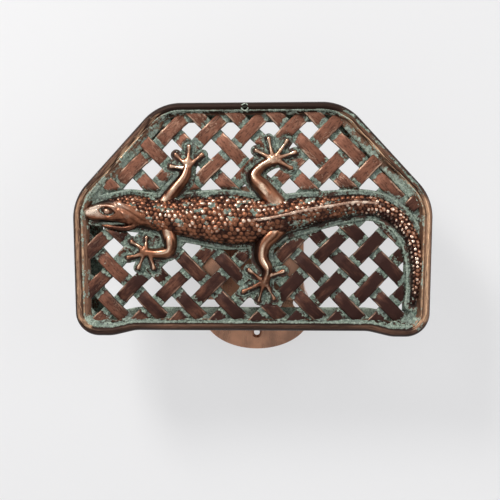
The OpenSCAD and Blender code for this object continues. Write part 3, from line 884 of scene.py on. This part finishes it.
# A strip's section: across and out from its middle, over the face and back below it
STRIP_SECTION = np.array([
    (-6.45, 1.0), (-6.2, 1.62), (-5.6, 1.92), (-4.2, 2.0), (-2.0, 2.06), (0, 2.08),
    (2.0, 2.06), (4.2, 2.0), (5.6, 1.92), (6.2, 1.62), (6.45, 1.0), (6.62, -0.4), (6.75, -1.6),
    (6.2, -2.0), (2.2, -2.0), (-2.2, -2.0), (-6.2, -2.0), (-6.75, -1.6), (-6.62, -0.4)])


def make_strip(slant, j, hem):
    """One strip: its section carried along the wave, from rim to rim. Its faces are brown, each
    length between two dips a little different, with painted shade lower down and painted sheen
    higher up;
    its dips and upper flanks are green."""
    c = math.sqrt(0.5)
    ahead, aside = np.array([c, slant * c]), np.array([-slant * c, c])
    v, section_z = STRIP_SECTION.T
    across = j * PITCH + v
    spans = [crossing_range(WEAVE_START + aside * a, ahead, hem) for a in across]
    if None in spans:
        return None
    start, end = np.array(spans).T
    steps = int((end - start).max() / STRIP_STEP) + 2
    u = start + (end - start) * np.linspace(0, 1, steps)[:, None]
    draw = np.random.default_rng(100 + j + 40 * (slant > 0))
    wander = across + 0.30 * np.sin(u / draw.uniform(14, 22) + draw.uniform(0, 6))
    wander += np.sign(v) * 0.2 * unevenness(vec(u, across, 0), 8, 20 + j)
    xy = WEAVE_START + u[..., None] * ahead + wander[..., None] * aside
    x, y = xy[..., 0], xy[..., 1]
    wave = wave_height(u, j if slant < 0 else j + 1)
    beside = distance_to_web(xy)
    near = fall(beside, -1, 3)
    grid = vec(x, y, PANEL_OUT + wave * (1 - near) - 2.1 * near + section_z * (1 - 0.25 * near))
    front = 1.0 * (section_z > 0.9)
    grid[..., 2] += front * (0.10 * unevenness(grid, 5, 31) + 0.06 * unevenness(grid, 2.4, 32))

    edge = 1.0 * ((np.abs(v) > 5.3) & (section_z > 1.5))
    tip = fall(np.minimum(u - u[:1], u[-1:] - u), 1.5, 7)
    sunk = ease(-wave, 0.2, 1.7)
    plank = draw.uniform(-0.15, 0.15, 64)[np.floor(u / (2 * PITCH) + 16).astype(int) % 64]
    lower = fall(y, -10, 95)
    upper_side = ease(v * (1 if slant < 0 else -0.3), 5.6, 6.4)
    patches = unevenness(grid, 15, 33)
    green = (front * (0.13 + 0.50 * sunk + 0.26 * near + 0.26 * fall(beside, 1, 9) + 0.45 * tip
                      + 0.07 * patches) + (1 - front) * (0.5 + 0.25 * upper_side))
    # Painted shade: the faces are darker towards the bottom, more so on the right and less at the
    # far left.
    shade = (0.66 + 0.24 * ease(x, 20, 90) - 0.28 * fall(x, -155, -95)) * lower
    low = front * (0.06 + plank + shade + 0.45 * sunk + 0.3 * near) + (1 - front) * 0.75
    # Lighter front edges, less so low down, partly wear and partly painted highlight; then painted
    # sheen on the faces of the upper strips.
    worn = edge * (1 - near) * ease(unevenness(grid, 24, 34), -0.5, 0.7) * (1 - 0.4 * lower)
    worn += front * (1 - edge) * 0.28 * ease(y, 40, 120) * ease(patches, -0.4, 0.8)
    values = finish(np.minimum(low, 0.88), worn * (1 - sunk), green,
                    along=u + 700 * (slant > 0), across=across + 0 * u)
    return *swept(grid), {key: with_poles(value) for key, value in values.items()}


def make_strips():
    """All strips of both slants, each cut where it runs under the rim."""
    hem = EDGE + INTO * (FACE - 1.6)
    parts = [make_strip(slant, j, hem) for slant in (-1, 1) for j in range(-12, 13)]
    make_piece("strips", "panel_patina", "woven_panel", STRIP_COPPER,
               *joined([part for part in parts if part]))


make_strips()


# ---- webs and bosses
def cells_within(middle_gap):
    """Cells of a grid whose middle lies inside, with cells that touch only at a corner joined."""
    kept = middle_gap < 0
    quarters = [kept[:-1, :-1], kept[1:, 1:], kept[1:, :-1], kept[:-1, 1:]]
    a, b, c, d = quarters
    corner = (a & b & ~c & ~d) | (c & d & ~a & ~b)
    for quarter in quarters:
        quarter |= corner
    return kept


def make_web():
    """The flat web: a square grid keeps the cells within the margin round the lizard, and the
    points on its border move down the slope of the distance onto the margin's line. A raised
    border, a bell across, runs along the line; the rest has a crust, and the back is flat. A
    painted shadow darkens the web close to the lizard on one side, and takes its verdigris away."""
    xy = np.stack(np.meshgrid(np.arange(-178, 178, WEB_STEP), np.arange(-62, 116, WEB_STEP),
                              indexing="ij"), -1)
    gap = distance_to_web(xy)
    slope = np.stack(np.gradient(gap, WEB_STEP), -1)
    slope /= np.linalg.norm(slope, axis=-1)[..., None] + 1e-9
    kept = cells_within(distance_to_web((xy[:-1, :-1] + xy[1:, 1:]) / 2))
    padded = np.pad(kept, 1).astype(int)
    around = padded[:-1, :-1] + padded[1:, :-1] + padded[:-1, 1:] + padded[1:, 1:]
    border = (around > 0) & (around < 4)
    xy[border] -= (slope * gap[..., None])[border]
    used = around > 0
    index = np.full(used.shape, -1)
    index[used] = np.arange(used.sum())
    flat = xy[used]
    x, y = flat.T
    count = len(flat)

    gap, close = distance_to_web(flat), distance_to_lizard(flat)
    along_body = fall(distance_to(flat, BODY_RUN, WEB_MARGIN) - gap, 0.5, 4)
    worn = ease(unevenness(vec(x, y, 0), 11, 58), -0.7, 0.5)
    lip = bell(gap, -1.5, 0.75) * along_body * (0.35 + 0.65 * worn)
    z = WEB_FRONT - 0.1 + 0.8 * lip - 0.7 * ease(gap, -1.2, 0)
    smooth = vec(x, y, z)
    z += 0.24 * unevenness(smooth, 4.0, 55) + 0.14 * unevenness(smooth, 2.2, 56)
    a, b, c, d = index[:-1, :-1], index[1:, :-1], index[1:, 1:], index[:-1, 1:]
    upper = vec(a, b, c, d)[kept]
    walls = [vec(p, q, q + count, p + count)[kept & (beyond == 0)] for p, q, beyond in (
        (a, d, padded[:-2, 1:-1]), (b, c, padded[2:, 1:-1]),
        (a, b, padded[1:-1, :-2]), (d, c, padded[1:-1, 2:]))]

    # Painted shadow: a dark line on the web close to the body and legs, on one side only, with the
    # verdigris taken away.
    shadow_side = ease(distance_to_lizard(flat - [0.8, 1.4]) - close, -0.2, 0.8)
    above = (0.45 + 0.55 * along_body) * bell(close, 0.4, 0.9) * shadow_side
    green = (0.56 + 0.35 * lip - 0.85 * above + 0.12 * unevenness(vec(x, y, z), 16, 57)
             + 0.02 * (1 - along_body))
    top = finish(0.45 + 0.9 * above, 0.75 * lip, green)
    back = plain(flat, 0.6, 0, 0.6)
    web = (np.concatenate([vec(x, y, z), vec(x, y, WEB_BACK)]),
           [upper, upper[:, ::-1] + count, np.concatenate(walls)],
           {key: np.concatenate([top[key], back[key]]) for key in top})
    make_piece("web", "panel_patina", "woven_panel", WEB_PATINA,
               *joined([web, corner_web(-1), corner_web(1)]))


def corner_web(side):
    """The solid web in a lower corner: straight lines from the slanted edge of the web to the
    rim's seat."""
    corner = np.array([side * LOW_CORNER[0], LOW_CORNER[1]])
    seat = EDGE + INTO * (FACE - 1) - corner
    seat = seat[np.abs(seat).sum(1) < CORNER_REACH]
    seat = seat[np.argsort(np.arctan2(seat[:, 1], side * seat[:, 0]))] + corner
    index = np.linspace(0, len(seat) - 1, 30)
    arc = np.stack([np.interp(index, np.arange(len(seat)), column) for column in seat.T], -1)
    chord = seat[0] + (seat[-1] - seat[0]) * np.linspace(0, 1, 30)[:, None]
    across = np.linspace(0, 1, 12)[None, :, None]
    xy = chord[:, None] * (1 - across) + arc[:, None] * across
    top = vec(xy[..., 0], xy[..., 1], WEB_FRONT - 0.1)
    top[..., 2] += 0.25 * unevenness(top, 4.0, 56)
    bottom = top[:, ::-1].copy()
    bottom[..., 2] = WEB_BACK
    points, faces = swept(np.concatenate([top, bottom], 1))
    return points, faces, plain(points, 0.5, 0, 0.72)


def boss(x, y, end):
    """A turned boss behind the panel: a profile revolved round its screw, bored through."""
    start = FLANGE_FRONT
    radius, out = np.array([
        (2.75, start), (5.2, start), (6.0, start + 0.8), (6.0, (start + end) / 2),
        (6.2, end - 2), (6.8, end), (2.75, end)]).T
    points, faces = revolved(WEAVE_START + [x, y], radius, out)
    return points, faces, plain(points, 0.5, 0, 0.5)


make_web()
make_piece("screw_bosses_cast", "boss_patina", "screw_bosses", WEB_PATINA,
           *joined([boss(*place) for place in BOSSES]))


# ---- the lizard's body
def head_relief(grid):
    """Height added to the head: brow, lids, eyeball, nostril, jaw line and neck folds, each a
    bell across a short line or round a point."""
    x, y = grid[..., 0], grid[..., 1]
    across = x - EYE[0]
    up = y - EYE[1] + 0.14 * across
    lids = 4.7 * np.sqrt(np.clip(1 - (across / 10.4) ** 2, 0.08, 1))
    almond = np.hypot(across / 9.0, up / lids)
    ball = np.sqrt(np.clip(1 - (across ** 2 + up ** 2) / 3.3 ** 2, 0, 1))
    lift = sum(height * near_line(grid, line, width) for height, width, line in FOLDS)
    lift += 0.7 * bell(almond, 1.12, 0.13) - 1.7 * fall(almond, 0.7, 1.05) + 2.4 * ball
    lift -= 0.7 * bell(away(grid, -162.4, 40.6), 0, 1.2)
    lift -= 1.5 * ease(-x, 147, 158) * np.clip((y - 37.5) / 6, -1, 1)
    return lift, almond, ball


def bead_field(a, b):
    """Round beads on a hexagon lattice of unit pitch, each moved a little and of its own size:
    the height of the nearest bead, and its random tone."""
    draw = np.random.default_rng(11)
    shift = draw.uniform(-0.17, 0.17, (64, 1024, 2))
    radii = draw.uniform(0.40, 0.55, (64, 1024))
    tones = draw.uniform(0, 1, (64, 1024))
    row = np.floor(b / BEAD_ROW + 0.5).astype(int)
    best, tone = np.full(a.shape, 9.0), np.zeros(a.shape)
    for r in (row - 1, row, row + 1):
        offset = 0.5 * (r % 2)
        column = np.floor(a - offset + 0.5).astype(int)
        for c in (column - 1, column, column + 1):
            key = r % 64, c % 1024
            gap = np.hypot(a - (c + offset + shift[key][..., 0]),
                           b - (r * BEAD_ROW + shift[key][..., 1])) / radii[key]
            tone = np.where(gap < best, tones[key], tone)
            best = np.minimum(best, gap)
    return np.sqrt(np.clip(1 - best ** 2, 0, 1)) * (0.75 + 0.25 * tone), tone


def body_finish(grid, normal, aside, along, height, cap, tone, strength, ridge, calm, belly,
                almond, ball, head):
    """The body's low, high and green values: dark gaps between the beads with verdigris lower
    down, painted highlights on each bead's crown, a bright ridge, a painted highlight on the nose
    and brow, the patina in the eye, and painted shade on faces that look up and to the left and
    along the inner side of the tail."""
    x, y = grid[..., 0], grid[..., 1]
    gaps = strength * ease(1 - cap, 0.35, 0.85)
    foot = fall(height, 1.0, 4.5)
    patches = ease(unevenness(grid, 20, 14), 0.0, 0.8)
    bare = fall(strength, 0.1, 0.4) * fall(ridge, 0.02, 0.05)
    flanks = ease(ridge, 0.02, 0.15) * fall(ridge, 0.25, 0.6)
    lower = ease(-aside, -3, 9)
    eye = fall(almond, 0.85, 1.1) * fall(ball, 0.35, 0.7) * head
    # Painted shade on faces that look up and to the left.
    shaded = ease(normal[..., 1] * 0.85 - normal[..., 0] * 0.45, 0.45, 0.9)
    tail, tip = ease(along, 265, 310), ease(along, 365, 400)
    nape = ease(y, 43.9, 45.4) * ease(-x, 130, 136) * fall(-x, 154, 162)
    # The term with tail and -aside is painted shade along the inner side of the tail.
    low = ((0.65 + 0.35 * tail) * gaps + 0.7 * tail * ease(-aside, 1.5, 4.5) + 0.7 * foot
           + 0.75 * shaded + 0.25 * belly + 0.7 * eye + 0.45 * calm + 0.6 * flanks
           + strength * (0.5 * ease(0.5 - tone, 0, 0.5) + 0.25 * tip)
           + bare * (0.3 * ease(-y, -36, -29) + 0.7 * nape))

    # Painted highlights: the snout and brow, and the crowns of the beads, most along the spine and
    # the upper side.
    brow = near_line(grid, BROW, 1.1) + bell(away(grid, -127.5, 43), 0, 4)
    snout_highlight = bare * np.maximum(ease(-x, 144, 159) * ease(y, 31, 38.5), 0.24 * np.minimum(brow, 1))
    rows = 0.7 + 0.5 * bell(aside, -1, 3.5) + 0.3 * ease(aside, 6, 12)
    shine = 0.12 + 0.5 * tail - 0.45 * tip + (1.2 - 0.3 * tail) * tone ** 2
    bead_highlights = bell(cap, 1.0, 0.22 + 0.06 * tail) * strength * shine * rows
    skin = (bare * (0.07 + 0.24 * ease(height, 6, 11)) * (1 - 0.6 * ease(-y, -34, -28))
            * (0.55 + 0.8 * ease(unevenness(grid, 11, 18), -0.6, 0.6)))
    high = (bead_highlights * (1 - 0.45 * belly) * (1 - 0.4 * calm) + skin + 1.05 * snout_highlight
            + ridge * (0.52 + 0.6 * ease(unevenness(grid, 4.5, 18), 0.1, 0.7)))
    # A painted highlight on the middle of the eyeball.
    high = high * (1 - eye) + 0.15 * ball ** 2 * head

    at_legs = bell(x, -86, 16) * lower
    crust = ease(unevenness(grid, 12, 17), 0.15, 0.75) * strength * (1 - belly)
    green = (gaps * (0.12 + 0.30 * patches * lower + 0.26 * at_legs - 0.05 * tail + 0.2 * tip)
             + calm * (0.22 + 0.16 * patches) + 0.42 * eye * ease(almond, 0.40, 0.8)
             + 0.52 * crust * (1 - 0.6 * ease(x, 60, 110)) * (1 - ridge) * (1 - 0.9 * tail)
             + 0.3 * foot * lower * (1 - 0.5 * bare))
    return finish(low, high * (1 - 0.85 * shaded), green)


def body():
    """The body and tail: half an ellipse over each station of the spine, with beads on a
    lattice that shrinks towards the tail, a ridge along the back, and the head's relief."""
    run, length = smooth_run(SPINE, BODY_STEP)
    _, left = headings(run)
    theta = np.linspace(0, np.pi, BODY_COLUMNS)
    lateral = run[:, 2:3] * np.cos(theta)
    height = run[:, 3:] * np.sin(theta) ** 0.8
    arc = travelled(vec(lateral, height), 1)
    aside = arc[:, BODY_COLUMNS // 2, None] - arc
    grid = vec(run[:, :1] + left[:, :1] * lateral, run[:, 1:2] + left[:, 1:] * lateral,
               WEB_FRONT + height)
    x, y = grid[..., 0], grid[..., 1]
    normal = outward_normals(grid)
    s = length[:, None]
    pitch = np.interp(s, [0, 60, 130, 190, 250, 320, 400, 430],
                      [4.0, 4.6, 5.3, 5.2, 4.6, 4.4, 4.1, 3.6])
    rows = np.cumsum(np.gradient(length)[:, None] / pitch, axis=0)
    cap, tone = bead_field(rows + 0.22 * unevenness(grid, 26, 15),
                           aside / pitch + 0.15 * unevenness(grid, 22, 16))
    ridge_at = np.interp(s, [0, 150, 185, 230, 300, 330], [0, 0, 0.6, 2.2, 2.4, 1.0])
    ridge = bell(aside, ridge_at, 1.35) * ease(s, 160, 180) * fall(s, 282, 302)
    hairline = np.interp(y, [26, 29, 44, 49, 52], [-100, -102, -121, -143, -146])
    beaded = ease(x - hairline, -1.5, 3.0) * ease(x, -150, -138)
    calm = ease(ridge_at - aside, 0.5, 3.0) * ease(s, 165, 195) * fall(s, 262, 300)
    belly = ease(-aside, 9, 15) * fall(s, 260, 300)
    strength = beaded * (1 - 0.5 * calm) * (1 - 0.35 * belly) * (1 - 0.9 * ease(ridge, 0.05, 0.5))
    lift, almond, ball = head_relief(grid)
    head = fall(s, 66, 76)
    raised = (strength * 0.34 * pitch * cap + 0.9 * ridge + lift * head
              + 0.18 * unevenness(grid, 7, 12))
    grid = grid + normal * raised[..., None]
    values = body_finish(grid, normal, aside, s, height, cap, tone, strength, ridge, calm,
                         belly, almond, ball, head)
    grid = np.pad(grid, ((0, 0), (1, 1), (0, 0)), mode="edge")
    grid[:, [0, -1], 2] = WEB_FRONT - 0.8
    sides = {"low": 1.0, "high": 0.0, "green": 0.2}
    return *swept(grid), {
        key: with_poles(np.pad(value, ((0, 0), (1, 1)), constant_values=sides[key]))
        for key, value in values.items()}


make_piece("lizard_body", "lizard_copper", "lizard", LIZARD_COPPER, *body())


# ---- the lizard's limbs
def round_tube(stations, sides, step, flat=1.0):
    """A round tube through x, y, height above the web and radius, closed by half balls;
    `flat` presses it."""
    run, _ = smooth_run(np.array(stations) + [0, 0, WEB_FRONT, 0], step)
    ahead, left = headings(run)
    tip = np.radians([15, 30, 45, 60, 75, 87])[:, None]

    def cap(k, way):
        return np.hstack([run[k, :2] + way * ahead[k] * run[k, 3] * np.sin(tip),
                          run[k, 2] + 0 * tip, run[k, 3] * np.cos(tip)])
    rings = np.concatenate([cap(0, -1)[::-1], run, cap(-1, 1)])
    left = np.pad(left, ((len(tip), len(tip)), (0, 0)), mode="edge")
    x, y, out, radius = rings.T[..., None]
    lateral = radius * np.cos(turns(sides))
    return swept(vec(x + left[:, :1] * lateral, y + left[:, 1:] * lateral,
                     out + radius * np.sin(turns(sides)) * flat))


def leg_tubes(leg, palm, toes):
    """A leg as a low wide tube under two ridges, the higher one on the viewer's left, which
    leaves a shallow crease between them; it dives under the body's edge at its root. Then the
    palm and one tapering tube with a round pad for each toe."""
    leg = np.array(leg, float)
    x, y, r = leg.T
    _, left = headings(leg)
    way = np.sign(y[-1] - y[0])
    dive = np.where(np.arange(len(leg)) == 0, 0.3, 1)
    tubes = [round_tube(vec(x, y, 0.25 * r, r), 28, 1.2)]
    for side, share, rise in ((0.04, 0.64, 0.82), (-0.42, 0.52, 0.46)):
        dx, dy = (way * side * r[:, None] * left).T
        tubes.append(round_tube(vec(x + dx, y + dy, rise * r * dive, share * r), 24, 1.2))
    tubes.append(round_tube([(x[-1], y[-1], 2.6, r[-1]), (*palm, 1.8, PALM_R + 0.5)],
                            28, 1.2, 0.75))
    t, height, radius = TOE_SHAPE.T
    for x0, y0, x1, y1 in toes:
        tubes.append(round_tube(vec(x0 + (x1 - x0) * t, y0 + (y1 - y0) * t, height, radius),
                                20, 0.9))
    return tubes


def limb_finish(mesh):
    """The limbs' low, high and green values: a painted highlight along each leg, painted shade on
    its sides and on faces that look down, painted highlights on the shoulders and hands, and green
    round the feet and on the gum."""
    places = mesh_points(mesh)
    x, y, out = places.T
    aslant, back, up = read(mesh.vertices, "normal", 3).T
    rise, facing, across = out - WEB_FRONT, -back, aslant - 0.25 * up
    jaw = (x < -112) & (y > 15)
    gum = jaw & (x < -126) & (y > 24.6)
    shin = ease(x, -4, 2) * fall(y, 14, 22) * ease(y, -34, -24)
    # Painted shade: dark on the side of each limb that faces left, browner on the side that faces
    # right, and darker on faces that look down.
    shaded_flank = ease(0.22 * shin - across, 0.42, 0.8)
    low = np.clip(0.95 * fall(rise, 0.4, 2.2) + shaded_flank + 0.34 * ease(across, 0.15, 0.7)
                  + 0.7 * jaw + 0.3 * ease(-up, 0.55, 0.95), 0, 1)

    # Painted highlight: a band along each limb by the way its faces look, moved over on the hind
    # shin, and weaker on the forearm and where a limb runs across.
    high = bell(across, 0.34 * shin - 0.08, 0.35 - 0.04 * shin)
    high *= ease(facing, 0.4, 0.85) * ease(rise, 1.4, 3.6) * (1 - jaw)
    high *= 1 - 0.65 * shin * ease(y, -2, 9)
    high *= 1 - 0.65 * ease(np.abs(up), 0.3, 0.7)
    high *= 0.35 + 0.65 * np.maximum(ease(unevenness(places, 16, 61), -0.7, 0.7), shin)
    high *= 1 - 0.6 * bell(away(places, -96, -3), 0, 9)
    # Painted highlights on parts of the front legs, on the upper hands and at the root of the
    # upper right leg.
    golden_highlight = np.maximum(
        near_line(places, [(-85, 48), (-79, 56), (-67, 71), (-63.5, 84)], 3.4),
        near_line(places, [(-82.5, 17), (-80.5, 4)], 3.2))
    high = np.maximum(high, 0.42 * golden_highlight * ease(facing, 0.55, 0.95))
    hands = np.minimum(away(places, -63, 88), away(places, 24, 94))
    wear_and_highlight = (0.34 * fall(hands, 18, 26) + 0.45 * bell(away(places, 19, 87.5), 0, 4.5)
              + 0.5 * bell(away(places, 28, 48), 0, 6))
    high = np.maximum(high, wear_and_highlight * ease(facing, 0.6, 0.95))
    dull = np.maximum(fall(away(places, 13, -36), 14, 22),
                      0.7 * fall(away(places, -110, -2), 10, 17))
    high = np.maximum(high * (1 - 0.45 * dull), 0.45 * gum)
    foot = (away(places, -112, 0) < 15) * ease(-x, 100, 108)
    green = (0.75 * gum + 0.62 * fall(rise, 0.1, 1.2)
             + 0.30 * foot * ease(unevenness(places, 9, 62), -0.4, 0.6))
    return {"low": np.minimum(low + 0.35 * dull, 1), "high": high, "green": green}


def make_limbs():
    """Legs, toes and the lower jaw, fused into one skin and relaxed."""
    tubes = [round_tube(JAW, 20, 1.0), round_tube(GUM, 12, 1.0)]
    tubes += [tube for leg in LEGS for tube in leg_tubes(*leg)]
    limbs = make_piece("lizard_limbs", "lizard_copper", "lizard", LIMB_COPPER,
                       *joined([(*tube, {}) for tube in tubes]))
    put(limbs.modifiers.new("one_skin", "REMESH"), mode="VOXEL", voxel_size=SKIN_VOXEL * MM)
    put(limbs.modifiers.new("relax", "SMOOTH"), factor=0.5, iterations=4)
    bake_modifiers(limbs)
    set_values(limbs.data, limb_finish(limbs.data))


make_limbs()


# ---- bracket and fasteners
def dressed_copy(node, name, material, bevel):
    """A merged copy of a CAD node with its edges rounded by a small bevel."""
    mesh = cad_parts[node].data.copy()
    mesh.name = name
    work = bmesh.new()
    work.from_mesh(mesh)
    bmesh.ops.remove_doubles(work, verts=work.verts, dist=1e-6)
    bmesh.ops.dissolve_limit(work, angle_limit=math.radians(0.6), verts=work.verts,
                             edges=work.edges)
    work.to_mesh(mesh)
    work.free()
    obj = add_piece(name, node, material, mesh)
    put(obj.modifiers.new("round_edges", "BEVEL"), width=bevel * MM, segments=3,
        limit_method="ANGLE", angle_limit=EDGE_ANGLE, harden_normals=True)
    mesh.shade_smooth()
    mesh.set_sharp_from_angle(angle=EDGE_ANGLE)


dressed_copy("saddle_bracket", "bracket", BRACKET_COPPER, 0.6)
dressed_copy("panel_screws", "machine_screws", SCREW_ZINC, 0.25)
dressed_copy("lock_washers", "spring_washers", WASHER_ZINC, 0.15)
